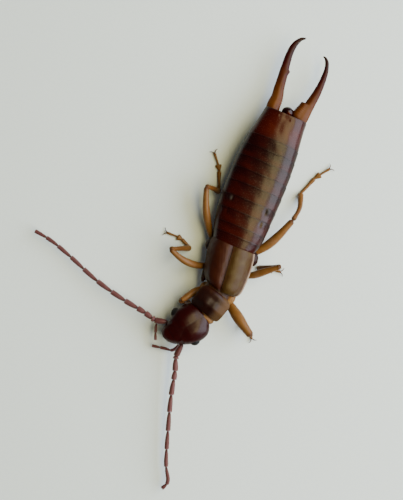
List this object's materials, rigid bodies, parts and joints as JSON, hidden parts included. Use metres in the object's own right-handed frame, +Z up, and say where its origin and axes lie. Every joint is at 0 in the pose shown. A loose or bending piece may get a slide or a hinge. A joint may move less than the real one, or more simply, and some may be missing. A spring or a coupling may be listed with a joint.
{
  "type": "earwig",
  "caption": "Life-size earwig standing still with feelers spread, folded wing cases, banded abdomen and curved toothed forceps.",
  "frame": {"origin": "on the floor under the middle of the bounding box", "axes": "+Y from head to forceps, +X to the animal's left, +Z up"},
  "size_m": [0.014, 0.026, 0.0021],
  "materials": {
    "head": "polished dark red-brown horn",
    "eye": "black, finely faceted",
    "thorax": "dark brown horn, paler rims",
    "tegmen": "satin brown wing case",
    "abdomen": "polished dark red-brown horn, darker bands",
    "forceps": "orange-brown horn, dark tips",
    "leg": "amber horn",
    "feeler": "dull reddish brown, fine down",
    "membrane": "soft brown skin"
  },
  "bodies": {
    "root": {"head": "head", "eye_left": "eye", "eye_right": "eye", "mouthparts": "head", "neck": "membrane", "prothorax": "membrane", "pronotum": "thorax", "thorax": "thorax", "tegmen_left": "tegmen", "tegmen_right": "tegmen", "abdomen": "abdomen", "pygidium": "abdomen", "antenna_right": "feeler", "antenna_left": "feeler", "palp_left": "feeler", "palp_right": "feeler", "forceps_right": "forceps", "forceps_left": "forceps", "leg_front_left": "leg", "leg_front_right": "leg", "leg_middle_left": "leg", "leg_middle_right": "leg", "leg_hind_left": "leg", "leg_hind_right": "leg"}
  },
  "joints": []
}
